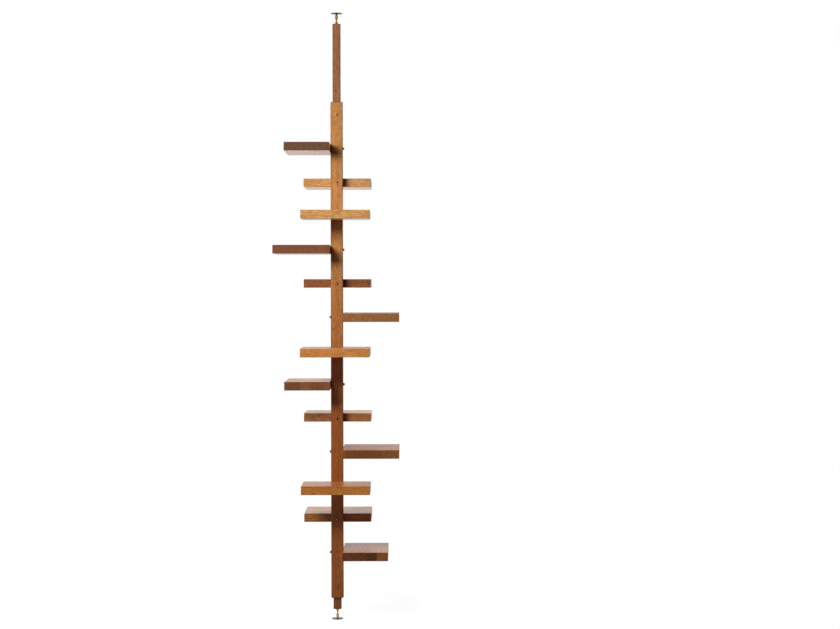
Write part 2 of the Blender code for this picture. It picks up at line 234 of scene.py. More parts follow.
# %% World for reflections
ROOM_GLOSS = 0.07
GLOSS_TO_WHITE = (0.0, 0.45)
SWEEP_GLOSS = 0.30
SWEEP_BELOW = (-0.60, -0.15)
PATCH_SEEN_FROM = Vector((0, 0, 2.0))
PATCH_STRETCH = (1, 1, 0.45)
PATCH_RIM = (0.87, 0.95)


def mirror_rays(tree):
    """Light Path outputs, and the mask of the rays of mirror-like surfaces."""
    ray = add_node(tree, "ShaderNodeLightPath").outputs
    return ray, maths(tree, "MAXIMUM", ray["Is Glossy Ray"], ray["Is Transmission Ray"])


to_patch = (softbox.location - PATCH_SEEN_FROM).normalized()
flattened = vectors(sky, "NORMALIZE", vectors(sky, "MULTIPLY", direction, PATCH_STRETCH))
patch = ramp(sky, measure(sky, "DOT_PRODUCT", flattened, to_patch), *PATCH_RIM)
sweep = ramp(sky, axes["Z"], *SWEEP_BELOW, SWEEP_GLOSS, 0.0)
for_gloss = ramp(sky, axes["Y"], *GLOSS_TO_WHITE, ROOM_GLOSS, 1.0)
for_gloss = maths(sky, "MAXIMUM", for_gloss, maths(sky, "MAXIMUM", patch, sweep))
ray, mirror = mirror_rays(sky)
not_seen = output(sky, "ShaderNodeMix", {0: mirror, 2: for_matt, 3: for_gloss})
strength = output(sky, "ShaderNodeMix", {0: ray["Is Camera Ray"], 2: not_seen, 3: 1.0})
backdrop = add_node(sky, "ShaderNodeBackground", {"Color": (1, 1, 1, 1), "Strength": strength})
add_node(sky, "ShaderNodeOutputWorld", {"Surface": backdrop.outputs[0]})
scene.view_settings.view_transform = "Standard"
print("world nodes:", len(sky.nodes), "view:", scene.view_settings.view_transform)

# %% [markdown]
# The floor is a plain white disc that bounces light up like a studio sweep. To
# the camera it glows a little less near its middle, so that the bookcase keeps
# a soft shadow, and reaches full white at its rim, so that no edge shows. Its
# paint reflects a bit more for bounced light than for the camera, which keeps
# the shadow and still lifts the foot of the post.

# %% Floor
FLOOR_RADIUS = 1.6
FLOOR_GLOW = 0.92
GLOW_RISE = (0.35, 1.45)
MIRROR_GLOW = 0.25
PAINT_SEEN = 0.35
PAINT_BOUNCED = 0.62

floor_mesh = bpy.data.meshes.new("studio_floor")
disc = bmesh.new()
bmesh.ops.create_circle(disc, cap_ends=True, segments=96, radius=FLOOR_RADIUS)
disc.to_mesh(floor_mesh)
disc.free()
floor = bpy.data.objects.new("studio_floor", floor_mesh)
scene.collection.objects.link(floor)

floor_finish = bpy.data.materials.new("studio_floor")
floor_finish.use_nodes = True
tree = floor_finish.node_tree
tree.nodes.clear()
place = add_node(tree, "ShaderNodeTexCoord").outputs["Object"]
glow = ramp(tree, measure(tree, "LENGTH", place), *GLOW_RISE, FLOOR_GLOW, 1.0)
ray, mirror = mirror_rays(tree)
seen = maths(tree, "MULTIPLY_ADD", mirror, MIRROR_GLOW, ray["Is Camera Ray"])
paint = maths(tree, "MULTIPLY_ADD", seen, PAINT_SEEN - PAINT_BOUNCED, PAINT_BOUNCED)
tint = output(tree, "ShaderNodeCombineXYZ", {0: paint, 1: paint, 2: paint})
matt = output(tree, "ShaderNodeBsdfDiffuse", {"Color": tint})
shine = output(
    tree, "ShaderNodeEmission",
    {"Color": (1, 1, 1, 1), "Strength": maths(tree, "MULTIPLY", glow, seen)},
)
both = output(tree, "ShaderNodeAddShader", {0: matt, 1: shine})
add_node(tree, "ShaderNodeOutputMaterial", {"Surface": both})
floor_mesh.materials.append(floor_finish)
print("floor disc,", 2 * FLOOR_RADIUS, "m across")

# %% [markdown]
# ## Timber
# Solid wood looks right from every side only if its figure is a solid too. The
# shelves are glued from staves, so a one-dimensional Voronoi texture gives each
# stave its own luck and marks the joints. Noise that is drawn out along the grain
# will give fibres, flecks, pores and veins. All of it is worked out in a frame
# with the grain along Y, and the staves side by side along X.

# %% Staves and grain noise
STAVE_SPREAD = 0.45
JOINT_EDGE = (0.004, 0.014)


def staves(tree, count):
    """Voronoi outputs of the stave at a point, and the mask of the joints."""
    inputs = {"W": count, "Scale": 1.0, "Randomness": STAVE_SPREAD}
    voronoi = dict(kind="ShaderNodeTexVoronoi", inputs=inputs, voronoi_dimensions="1D")
    stave = add_node(tree, **voronoi).outputs
    gap = add_node(tree, feature="DISTANCE_TO_EDGE", **voronoi).outputs["Distance"]
    return stave, ramp(tree, gap, *JOINT_EDGE, 1.0, 0.0)


def grain_noise(tree, place, across_size, along_size, detail, rough=0.55):
    """Noise drawn out along the grain; the two sizes are in metres."""
    scale = (1 / across_size, 1 / along_size, 1 / across_size)
    return noise(tree, vectors(tree, "MULTIPLY", place, scale), 1.0, detail, rough)


print("a glue joint takes", round(200 * JOINT_EDGE[1], 1), "% of a stave")

# %% [markdown]
# A tree grows in rings round its pith. So we measure the distance to a pith that
# lies somewhere outside the stave, bend it a little with noise, and cut it into
# rings. A board sawn from that shows long flames on its faces and arcs on its
# ends by itself.

# %% Growth rings
PITH_BESIDE = (0.11, -0.055)
PITH_BELOW = (-0.085, -0.022)
BEND = (0.05, 0.22, 2.0)
BEND_BESIDE = 0.030
BEND_BELOW = 0.034
LATE_RISE = 2.4
YEAR_END = (0.93, 1.0)


def growth_rings(tree, own, beside, below, luck, spacing):
    """Mask of the dark late wood, from the bent distance to the stave's pith."""
    bend = grain_noise(tree, own, *BEND)["Color"]
    bend = add_node(tree, "ShaderNodeSeparateColor", {0: bend}).outputs
    dx = maths(tree, "SUBTRACT", beside, maths(tree, "MULTIPLY_ADD", luck[0], *PITH_BESIDE))
    dx = maths(tree, "MULTIPLY_ADD", bend[0], BEND_BESIDE, dx)
    dz = maths(tree, "SUBTRACT", below, maths(tree, "MULTIPLY_ADD", luck[1], *PITH_BELOW))
    dz = maths(tree, "MULTIPLY_ADD", bend[1], BEND_BELOW, dz)
    squares = maths(tree, "ADD", maths(tree, "MULTIPLY", dx, dx), maths(tree, "MULTIPLY", dz, dz))
    year = maths(tree, "FRACT", maths(tree, "DIVIDE", maths(tree, "SQRT", squares), spacing))
    late = maths(tree, "POWER", year, LATE_RISE)
    return maths(tree, "MULTIPLY", late, ramp(tree, year, *YEAR_END, 1.0, 0.0))


print("a pith lies up to", round(-1000 * sum(PITH_BELOW)), "mm down")

# %% [markdown]
# One node group holds the whole figure, so that every board can use it with its
# own sizes and seed. It puts out masks and a height, and leaves the colours to
# the finish.

# %% New node group
def new_tree(name, kind, inputs, outputs):
    """A node group, and the sockets inside it to read and to fill."""
    tree = bpy.data.node_groups.new(name, kind)
    for label, holds, value in inputs:
        socket = tree.interface.new_socket(
            name=label, in_out="INPUT", socket_type="NodeSocket" + holds
        )
        if value is not None:
            socket.default_value = value
    for label, holds in outputs:
        tree.interface.new_socket(name=label, in_out="OUTPUT", socket_type="NodeSocket" + holds)
    given = tree.nodes.new("NodeGroupInput")
    result = tree.nodes.new("NodeGroupOutput")
    return tree, given.outputs, result.inputs


def fill(tree, result, values):
    """Link values to the outputs of a group, in their order."""
    for value, socket in zip(values, result):
        tree.links.new(value, socket)


print("node groups so far:", len(bpy.data.node_groups))

# %% Timber figure group
FIBRES = (0.0011, 0.045, 3.0)
FLECKS = (0.0035, 0.016, 2.0, 0.6)
PORES = (0.00055, 0.007, 1.0)
VEINS = (0.014, 0.26, 3.0, 0.6)
STAVE_SHIFT = 7.0


def build_timber_figure():
    """Node group of the rings, fibres, pores, veins and joints."""
    labels = ("Rings", "Fibre", "Flecks", "Pores", "Vein", "Tone", "Warmth", "Joint", "Height")
    tree, given, result = new_tree(
        "timber figure", "ShaderNodeTree",
        [
            ("Vector", "Vector", None),
            ("Stave Width", "Float", 0.05),
            ("Ring Spacing", "Float", 0.005),
            ("Seed", "Float", 0.0),
        ],
        [(label, "Float") for label in labels],
    )
    axes = split(tree, given["Vector"])
    seed = given["Seed"]
    count = maths(tree, "DIVIDE", axes["X"], given["Stave Width"])
    count = maths(tree, "ADD", count, seed)
    stave, joint = staves(tree, count)
    luck = add_node(tree, "ShaderNodeSeparateColor", {0: stave["Color"]}).outputs

    # Each stave and each board samples its own part of the noise fields
    shift = output(
        tree, "ShaderNodeVectorMath", {0: stave["Color"], "Scale": STAVE_SHIFT}, operation="SCALE"
    )
    number = output(tree, "ShaderNodeCombineXYZ", {0: seed, 1: seed, 2: seed})
    own = vectors(tree, "ADD", given["Vector"], vectors(tree, "ADD", shift, number))

    beside = maths(tree, "SUBTRACT", count, stave["W"])
    beside = maths(tree, "MULTIPLY", beside, given["Stave Width"])
    rings = growth_rings(tree, own, beside, axes["Z"], luck, given["Ring Spacing"])
    fibre = grain_noise(tree, own, *FIBRES)["Fac"]
    flecks = ramp(tree, grain_noise(tree, own, *FLECKS)["Fac"], 0.34, 0.66, -1.0, 1.0)
    pores = ramp(tree, grain_noise(tree, own, *PORES)["Fac"], 0.60, 0.72)
    vein = ramp(tree, grain_noise(tree, own, *VEINS)["Fac"], 0.38, 0.68)
    height = maths(tree, "MULTIPLY_ADD", fibre, 0.5, maths(tree, "MULTIPLY", pores, -0.8))
    height = maths(tree, "MULTIPLY_ADD", joint, -0.9, height)
    height = maths(tree, "MULTIPLY_ADD", rings, 0.15, height)
    fill(tree, result, (rings, fibre, flecks, pores, vein, luck[2], luck[0], joint, height))
    return tree


timber_figure = build_timber_figure()
print("timber figure:", len(timber_figure.nodes), "nodes")

# %% [markdown]
# Along the arrises of a board the colour gets painted shade, as a rounded edge
# turned from the light would show, and the finish is smoother there. In a
# box-shaped board, a point lies near an edge when two of its three distances to
# the faces are small, so the middle one of the three is the distance to the edge.
# The least of the three is the depth below the nearest face, which marks the
# inside of drilled holes.

# %% Edge masks group
EDGE_SHADE_PATCHES = (45.0, 3.0, 0.6)
HOLE_DEPTHS = (0.0010, 0.0018)


def build_edge_masks():
    """Node group that marks the arrises of a box, for painted edge shade, and its drilled holes.
    """
    tree, given, result = new_tree(
        "handled edges", "ShaderNodeTree",
        [
            *[(label, "Vector", None) for label in ("Vector", "Middle", "Half Size")],
            ("Reach", "Float", 0.004),
        ],
        [("Wear", "Float"), ("Drilled", "Float")],
    )
    from_middle = vectors(tree, "SUBTRACT", given["Vector"], given["Middle"])
    from_middle = vectors(tree, "ABSOLUTE", from_middle)
    a, b, c = split(tree, vectors(tree, "SUBTRACT", given["Half Size"], from_middle))
    low = maths(tree, "MINIMUM", a, b)
    high = maths(tree, "MAXIMUM", a, b)
    median = maths(tree, "MAXIMUM", low, maths(tree, "MINIMUM", high, c))
    depth = maths(tree, "MINIMUM", low, c)
    patch = noise(tree, given["Vector"], *EDGE_SHADE_PATCHES)["Fac"]
    reach = maths(tree, "MULTIPLY", given["Reach"], ramp(tree, patch, 0.30, 0.70, 0.55, 1.4))
    share = maths(tree, "DIVIDE", median, reach)
    edge_shade_and_wear = ramp(tree, share, 0.0, 1.0, 1.0, 0.0)
    fill(tree, result, (edge_shade_and_wear, ramp(tree, depth, *HOLE_DEPTHS)))
    return tree


edge_masks = build_edge_masks()
print("handled edges:", len(edge_masks.nodes), "nodes")

# %% [markdown]
# A timber finish starts from one colour for long grain and one for end grain,
# because the open ends drink more oil and turn darker. How far a face looks
# along the grain tells which of the two it is. A standing board may have a
# darker foot, and the upward face of some shelves gets painted light: a light
# tint is multiplied over the wood there.

# %% Ground colour of a board
FOOT_TO_HEAD = (-0.35, 0.60)
END_FACE = (0.45, 0.90)
SQUARE_ON = (0.50, 0.90)
# Painted light: a light tint multiplied over the upward faces of some shelves.
TOP_LIGHT_TINT = (1.90, 2.10, 1.50, 1)


def ground_colour(tree, lie, normal, along, long_grain, end_grain, foot_grain, painted_top_light):
    """Colour before the figure, and how far a face is sawn across the grain."""
    rise = ramp(tree, split(tree, lie)["Y"], *FOOT_TO_HEAD)
    colour = blend(tree, rise, foot_grain or long_grain, long_grain)
    sawn_across = maths(tree, "ABSOLUTE", measure(tree, "DOT_PRODUCT", normal, along))
    sawn_across = ramp(tree, sawn_across, *END_FACE)
    colour = blend(tree, sawn_across, colour, end_grain)
    # Upward faces get painted top light, multiplied over the wood.
    lit_top = ramp(tree, split(tree, normal)["Z"], *SQUARE_ON, 0.0, painted_top_light)
    return blend(tree, lit_top, colour, TOP_LIGHT_TINT, "MULTIPLY"), sawn_across


# The tint is painted light on the shelf tops.
print("full sun lifts the green", TOP_LIGHT_TINT[1], "times")

# %% [markdown]
# The staves differ in tone, less so on the shelf tops that get painted top light,
# and the fibres and flecks vary the value. Each mask then darkens the colour, always a
# little more in green and blue than in red, as darker wood is also redder; the
# arrises get painted shade this way. Only the upper arrises of a shelf are the
# other way round: they get a painted highlight and turn pale. In a hole, the wall
# gets painted shade, near black, and the flat end is pale bare wood, lifted
# further as painted light.

# %% Figured colour of a board
EVENED_OUT = 0.25
LATE_WOOD = (0.60, 0.50, 0.43, 1)
VEIN_WOOD = (0.78, 0.64, 0.58, 1)
PORE_WOOD = (0.34, 0.27, 0.22, 1)
JOINT_GLUE = (0.40, 0.34, 0.30, 1)
# Painted shade along the arrises, and a painted highlight on a shelf's upper arrises.
EDGE_SHADE = (0.40, 0.36, 0.34, 1)
UPPER_EDGE_HIGHLIGHT = (1.35, 1.40, 1.50, 1)
# Painted shade, near black, on the walls of a hole; its flat end is pale bare wood, lifted
# further by painted light.
BARE_AND_LIT_HOLE_END = (1.00, 0.66, 0.42, 1)
HOLE_WALL_SHADE = (0.07, 0.025, 0.008, 1)


def figured_colour(tree, colour, figure, edges_and_holes, normal, contrast, painted_top_light, edge_tint):
    """Ground colour with the tone, streaks and darker masks of the figure."""
    normal = split(tree, normal)
    uneven = ramp(tree, normal["Z"], *SQUARE_ON, contrast, EVENED_OUT if painted_top_light else contrast)
    stave_step = maths(tree, "SUBTRACT", figure["Tone"], 0.5)
    tone = maths(tree, "MULTIPLY_ADD", stave_step, uneven, 1.0)
    streak = ramp(tree, figure["Fibre"], 0.30, 0.70, -0.20, 0.20)
    streak = maths(tree, "MULTIPLY_ADD", figure["Flecks"], 0.20, streak)
    colour = output(tree, "ShaderNodeHueSaturation", {
        "Hue": maths(tree, "MULTIPLY_ADD", figure["Warmth"], 0.008, 0.496),
        "Saturation": maths(tree, "MULTIPLY_ADD", tone, -0.07, 1.07),
        "Value": maths(tree, "ADD", maths(tree, "MULTIPLY", tone, 1.08), streak),
        "Color": colour,
    })
    masks = (
        (figure["Rings"], 1.0, LATE_WOOD), (figure["Vein"], 0.60, VEIN_WOOD),
        (figure["Pores"], 0.55, PORE_WOOD), (figure["Joint"], 0.70, JOINT_GLUE),
        (edges_and_holes["Wear"], 0.65, edge_tint),
    )
    for mask, amount, stain in masks:
        share = maths(tree, "MULTIPLY", mask, amount)
        colour = blend(tree, share, colour, stain, "MULTIPLY")
    hole_end = ramp(tree, maths(tree, "ABSOLUTE", normal["Y"]), *SQUARE_ON)
    hole = blend(tree, hole_end, HOLE_WALL_SHADE, BARE_AND_LIT_HOLE_END)
    return blend(tree, edges_and_holes["Drilled"], colour, hole)


print("pores keep", PORE_WOOD[0], "of the red light")

# %% [markdown]
# The satin oil gives a low roughness that the fibres, pores and saw cuts break
# up, and hands polish the edges smoother still. The bump is only as deep as open
# pores are.

# %% Timber finish
GRAIN_DEPTH = 0.0002


def timber(
    name, long_grain, end_grain, middle, half_size, grain_frame,
    stave, ring, seed, contrast, foot_grain=None, reach=0.0025, satin=0.25,
    lit_upper_edges=False, painted_top_light=0.0,
):
    """Material of one board; grain_frame turns the group's X, Y, Z to the board's."""
    material = bpy.data.materials.new(name)
    material.use_nodes = True
    tree = material.node_tree
    shader = tree.nodes["Principled BSDF"]
    spot = add_node(tree, "ShaderNodeTexCoord").outputs
    lie = output(
        tree, "ShaderNodeMapping",
        {"Vector": spot["Object"], "Location": middle, "Rotation": grain_frame.to_euler()},
        vector_type="TEXTURE",
    )
    figure = add_node(
        tree, "ShaderNodeGroup",
        {"Vector": lie, "Stave Width": stave, "Ring Spacing": ring, "Seed": seed},
        node_tree=timber_figure,
    ).outputs
    edges_and_holes = add_node(
        tree, "ShaderNodeGroup",
        {"Vector": spot["Object"], "Middle": middle, "Half Size": half_size, "Reach": reach},
        node_tree=edge_masks,
    ).outputs
    # The arrises get painted shade; a shelf's upper arrises get a painted highlight instead.
    edge_tint = EDGE_SHADE
    if lit_upper_edges:
        bottom, top = (middle.z + side * 0.5 * half_size.z for side in (-1, 1))
        upper = ramp(tree, split(tree, spot["Object"])["Z"], bottom, top)
        edge_tint = blend(tree, upper, EDGE_SHADE, UPPER_EDGE_HIGHLIGHT)
    colour, sawn_across = ground_colour(
        tree, lie, spot["Normal"], grain_frame @ Vector((0, 1, 0)),
        long_grain, end_grain, foot_grain, painted_top_light,
    )
    colour = figured_colour(tree, colour, figure, edges_and_holes, spot["Normal"], contrast, painted_top_light, edge_tint)
    rough = satin
    for mask, change in (
        (figure["Fibre"], 0.10), (figure["Pores"], 0.15), (sawn_across, 0.04),
        (edges_and_holes["Wear"], -0.05), (edges_and_holes["Drilled"], 0.60),
    ):
        rough = maths(tree, "MULTIPLY_ADD", mask, change, rough)
    bump = {"Height": figure["Height"], "Strength": 0.30, "Distance": GRAIN_DEPTH}
    tree.links.new(colour, shader.inputs["Base Color"])
    tree.links.new(rough, shader.inputs["Roughness"])
    tree.links.new(output(tree, "ShaderNodeBump", bump), shader.inputs["Normal"])
    shader.inputs["Specular IOR Level"].default_value = 0.35
    return material


def finish_node(node, material):
    """Put a material in a CAD node's slot."""
    nodes[node].material_slots[0].material = material


print("the grain is", 1000 * GRAIN_DEPTH, "mm deep")

# %% [markdown]
# ## Post, core and poles
# The grain of the post and the poles runs up, so the group's Y is turned to
# point up. The boards are single pieces, so their stave width is larger than
# they are. Each board has its own seed, as no two boards come from one place.
# Their arrises are rounded, so the painted edge shade reaches further round the
# corner than on the shelves. Each standing board is darker towards its foot.

# %% Post and poles
POST_HEAD = linear(203, 147, 85)
POST_FOOT = linear(172, 106, 53)
SIDE_HEAD = linear(166, 114, 64)
SIDE_FOOT = linear(138, 84, 44)
POST_END = linear(120, 78, 46)
POLE_WOOD = linear(167, 108, 70)
LOW_POLE_WOOD = linear(150, 92, 52)
POLE_END = linear(112, 70, 46)
CORE_WOOD = linear(176, 126, 84)
ONE_BOARD = 0.30
BOARD_RINGS = 0.0045
BOARD_CONTRAST = 0.1
ROUNDED_REACH = 0.0055
STANDING = Matrix.Rotation(math.radians(90), 3, "X")


def middle_and_half(low, high):
    """Middle and half size of a box, for the handled edges."""
    return (low + high) / 2, (high - low) / 2


# Node, long grain, end grain, turn about the post, seed, foot grain
UPRIGHT_BOARDS = (
    ("post_front_board", POST_HEAD, POST_END, 0, 1.2, POST_FOOT),
    ("post_back_board", SIDE_HEAD, POST_END, 0, 2.2, SIDE_FOOT),
    ("post_left_board", POST_HEAD, POST_END, 90, 3.2, POST_FOOT),
    ("post_right_board", SIDE_HEAD, POST_END, 90, 4.2, SIDE_FOOT),
    ("post_core", CORE_WOOD, POST_END, 0, 5.2, None),
    ("upper_pole", POLE_WOOD, POLE_END, 0, 6.2, None),
    ("lower_pole", LOW_POLE_WOOD, POLE_END, 0, 7.2, None),
)
for node, long_grain, end_grain, about, seed, foot_grain in UPRIGHT_BOARDS:
    middle, half = middle_and_half(*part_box(node))
    lay = Matrix.Rotation(math.radians(about), 3, "Z") @ STANDING
    board = timber(
        node, long_grain, end_grain, middle, half, lay,
        ONE_BOARD, BOARD_RINGS, seed, BOARD_CONTRAST, foot_grain, ROUNDED_REACH,
    )
    finish_node(node, board)
print(len(UPRIGHT_BOARDS), "upright boards finished")

# %% [markdown]
# ## Shelves
# Every shelf is a slab of staves, glued side by side, whose grain runs along
# the shelf's long edge. So the shelves at the front and back show long grain to
# the viewer, and those at the sides show the ends of their staves. The order of
# the sides and the tone and satin of each slab follow the photograph. The tops
# of some lower shelves get painted light, a light tint over the wood.

# %% Shelves
# Side, long grain, end grain, seed, contrast of the staves, satin, painted top light
SHELVES = (
    ("left", (212, 156, 96), (110, 78, 60), 22.95, 0.20, 0.19, 0.0),
    ("back", (216, 167, 103), (100, 58, 38), 22.58, 0.15, 0.21, 0.0),
    ("front", (231, 174, 107), (117, 77, 44), 39.60, 0.50, 0.20, 0.0),
    ("left", (169, 112, 52), (132, 87, 61), 28.87, 0.35, 0.20, 0.0),
    ("back", (168, 109, 71), (134, 77, 47), 14.81, 0.45, 0.21, 0.0),
    ("right", (160, 93, 50), (170, 117, 73), 20.36, 0.15, 0.22, 0.0),
    ("front", (227, 155, 87), (116, 68, 42), 14.07, 0.35, 0.25, 0.0),
    ("left", (176, 119, 75), (141, 91, 60), 48.11, 0.30, 0.25, 0.55),
    ("back", (234, 164, 107), (102, 55, 33), 13.70, 0.90, 0.21, 0.80),
    ("right", (175, 109, 54), (154, 97, 54), 12.96, 0.45, 0.32, 0.30),
    ("front", (214, 141, 67), (135, 78, 48), 21.47, 0.60, 0.28, 0.0),
    ("back", (195, 132, 72), (154, 94, 54), 14.81, 0.45, 0.23, 0.50),
    ("right", (202, 120, 52), (174, 104, 58), 43.67, 1.40, 0.24, 0.25),
)
SIDE_TURN = {"right": 0, "back": 90, "left": 180, "front": 270}
STAVE_WIDTH = 0.05
SHELF_RINGS = 0.0052
SEAM = 0.0003
post_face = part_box("post_back_board")[1].y
sides = [shelf[0] for shelf in SHELVES]
numbers = [f"{place + 1:02d}" for place in range(len(SHELVES))]


def slab_box(node, side):
    """A shelf's box without the dowels that reach into the post."""
    low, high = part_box(node)
    axis = 0 if side in ("left", "right") else 1
    if side in ("right", "back"):
        low[axis] = post_face + SEAM
    else:
        high[axis] = -post_face - SEAM
    return low, high


for number, (side, long_grain, end_grain, seed, contrast, satin, painted_top_light) in zip(numbers, SHELVES):
    node = f"shelf_{number}"
    middle, half = middle_and_half(*slab_box(node, side))
    lay = Matrix.Rotation(math.radians(SIDE_TURN[side]), 3, "Z")
    slab = timber(
        node, linear(*long_grain), linear(*end_grain), middle, half, lay,
        STAVE_WIDTH, SHELF_RINGS, seed, contrast,
        satin=satin, lit_upper_edges=True, painted_top_light=painted_top_light,
    )
    finish_node(node, slab)
print(len(SHELVES), "shelves finished")

# %% [markdown]
# ## Brass
# The metal parts are turned from brass bar and polished. A lathe leaves fine
# rings round its axis, and handling leaves faint darker patches. The group reads
# a place measured from the axis, so the rings always run round the piece.

# %% Turned brass group
PATINA_PATCHES = (170.0, 4.0, 0.62)


def build_turning_marks():
    """Node group for the rings and patches of turned brass."""
    tree, given, result = new_tree(
        "turning marks", "ShaderNodeTree",
        [("Vector", "Vector", None), ("Spacing", "Float", 0.00035)],
        [(label, "Float") for label in ("Lines", "Patina", "Radius", "Height")],
    )
    axes = split(tree, given["Vector"])
    flat = output(tree, "ShaderNodeCombineXYZ", {0: axes["X"], 1: axes["Y"]})
    radius = measure(tree, "LENGTH", flat)
    path = maths(tree, "ADD", radius, axes["Z"])
    count = maths(tree, "DIVIDE", path, given["Spacing"])
    lines = add_node(
        tree, "ShaderNodeTexNoise", {"W": count, "Scale": 1.0, "Detail": 2.0},
        noise_dimensions="1D",
    ).outputs["Fac"]
    patina = noise(tree, given["Vector"], *PATINA_PATCHES)["Fac"]
    height = maths(tree, "MULTIPLY_ADD", patina, 0.3, lines)
    fill(tree, result, (lines, ramp(tree, patina, 0.42, 0.72), radius, height))
    return tree


turning_marks = build_turning_marks()
print("turning marks:", len(turning_marks.nodes), "nodes")

# %% [markdown]
# The pads are a darker brown from their hubs outwards.
# The screws are lit by height: a painted highlight near the top of the post and
# painted shade towards the floor. Turned pieces carry each point's place from
# the axis as an attribute, and a few hidden pieces are read in place.

# %% Brass finish
BRASS_BRIGHT = linear(240, 210, 144)
BRASS_AGED = linear(192, 156, 94)
PAD_DARK = linear(108, 86, 50)
PAD_DARK_RADII = (0.005, 0.011)
# Painted highlight on the screws near the top, painted shade near the floor.
SCREW_LIT = linear(255, 212, 156)
SCREW_SHADED = linear(158, 108, 58)
SCREW_LIGHT_HEIGHTS = (0.9, 2.3)
BRASS_ROUGHNESS = 0.12
RING_DEPTH = 0.00005


def brass(name, darker_metal=BRASS_AGED, from_axis=True, dark_radii=None, lit_by_height=False):
    """Polished brass with darker patches, dark all over beyond the given radii, and painted light
    by height on screws.
    """
    material = bpy.data.materials.new(name)
    material.use_nodes = True
    tree = material.node_tree
    shader = tree.nodes["Principled BSDF"]
    if from_axis:
        spot = add_node(tree, "ShaderNodeAttribute", attribute_name="from_axis").outputs["Vector"]
    else:
        spot = add_node(tree, "ShaderNodeTexCoord").outputs["Object"]
    marks = add_node(tree, "ShaderNodeGroup", {"Vector": spot}, node_tree=turning_marks).outputs
    patina = marks["Patina"]
    if dark_radii:
        patina = maths(tree, "MAXIMUM", patina, ramp(tree, marks["Radius"], *dark_radii))
    # Screws: painted highlight high up, painted shade low down.
    if lit_by_height:
        lit_screw = blend(tree, patina, SCREW_LIT, BRASS_BRIGHT)
        place = add_node(tree, "ShaderNodeTexCoord").outputs["Object"]
        height = ramp(tree, split(tree, place)["Z"], *SCREW_LIGHT_HEIGHTS)
        metal = blend(tree, height, SCREW_SHADED, lit_screw)
    else:
        metal = blend(tree, patina, BRASS_BRIGHT, darker_metal)
    rough = maths(tree, "MULTIPLY_ADD", marks["Lines"], 0.10, BRASS_ROUGHNESS)
    rough = maths(tree, "MULTIPLY_ADD", patina, 0.14, rough)
    bump = {"Height": marks["Height"], "Strength": 0.25, "Distance": RING_DEPTH}
    shader.inputs["Metallic"].default_value = 1.0
    tree.links.new(metal, shader.inputs["Base Color"])
    tree.links.new(rough, shader.inputs["Roughness"])
    tree.links.new(output(tree, "ShaderNodeBump", bump), shader.inputs["Normal"])
    return material


turned_brass = brass("turned_brass")
screw_brass = brass("screw_brass", lit_by_height=True)
pad_brass = brass("pad_brass", PAD_DARK, dark_radii=PAD_DARK_RADII)
bush_brass = brass("bush_brass", from_axis=False)
print("materials so far:", len(bpy.data.materials))

# %% [markdown]
# ## A lathe in Geometry Nodes
# Ferrules, jacks, pads, bolts and lock screws are all turned, so one tree makes
# them all. Two rules shape the result further. A screw thread is a dent that
# climbs by one pitch a turn: a triangle wave of height and angle, faded in and
# out over one pitch. A hex socket is a round hole whose wall is pushed out
# towards six corners.

# %% Thread and hex socket rules
THREAD_FLANK = (0.06, 0.42)
WALL_MARGIN = 0.00002


def thread_dent(tree, given, height, angle):
    """How far a point moves out for the thread, which is below zero."""
    pitch = given["Thread Pitch"]
    turns = maths(tree, "DIVIDE", height, pitch)
    turns = maths(tree, "SUBTRACT", turns, maths(tree, "DIVIDE", angle, 2 * math.pi))
    wave = maths(tree, "ABSOLUTE", maths(tree, "SUBTRACT", maths(tree, "FRACT", turns), 0.5))
    dent = maths(tree, "MULTIPLY", ramp(tree, wave, *THREAD_FLANK), given["Thread Depth"])
    above = maths(tree, "SUBTRACT", height, given["Thread Low"])
    above = maths(tree, "DIVIDE", above, pitch)
    below = maths(tree, "SUBTRACT", given["Thread High"], height)
    below = maths(tree, "DIVIDE", below, pitch)
    fade = ramp(tree, maths(tree, "MINIMUM", above, below), 0.0, 1.0)
    return maths(tree, "MULTIPLY", maths(tree, "MULTIPLY", dent, fade), -1.0)


def hex_push(tree, given, height, radius, angle):
    """How far a point on the key hole's wall moves out."""
    from_flat = maths(tree, "FLOORED_MODULO", angle, math.pi / 3)
    from_flat = maths(tree, "SUBTRACT", from_flat, math.pi / 6)
    hex_radius = maths(tree, "DIVIDE", radius, maths(tree, "COSINE", from_flat))
    push = maths(tree, "SUBTRACT", hex_radius, radius)
    on_wall = maths(tree, "COMPARE", radius, given["Key Radius"], WALL_MARGIN)
    over_floor = maths(tree, "GREATER_THAN", height, given["Key Floor"])
    return maths(tree, "MULTIPLY", push, maths(tree, "MULTIPLY", on_wall, over_floor))


print("a hex corner lies", round(1 / math.cos(math.pi / 6), 3), "times as far out")

# %% [markdown]
# The tree takes a drawn profile, with the distance from the axis along X and the
# height along Y, and sweeps it round a circle of one metre. The profile is moved
# in by that metre first, so it ends up round the axis. The tree also stores each
# point's place from the axis for the brass finish.

# %% Lathe tree
SAME_POINT = 0.000002
LATHE_NUMBERS = ("Thread Depth", "Thread Low", "Thread High", "Key Radius", "Key Floor")


def finish_tree(tree, shape, finish, result):
    """End a tree with real geometry in one material."""
    shape = output(tree, "GeometryNodeRealizeInstances", {0: shape})
    shape = output(tree, "GeometryNodeSetMaterial", {"Geometry": shape, "Material": finish})
    fill(tree, result, [shape])


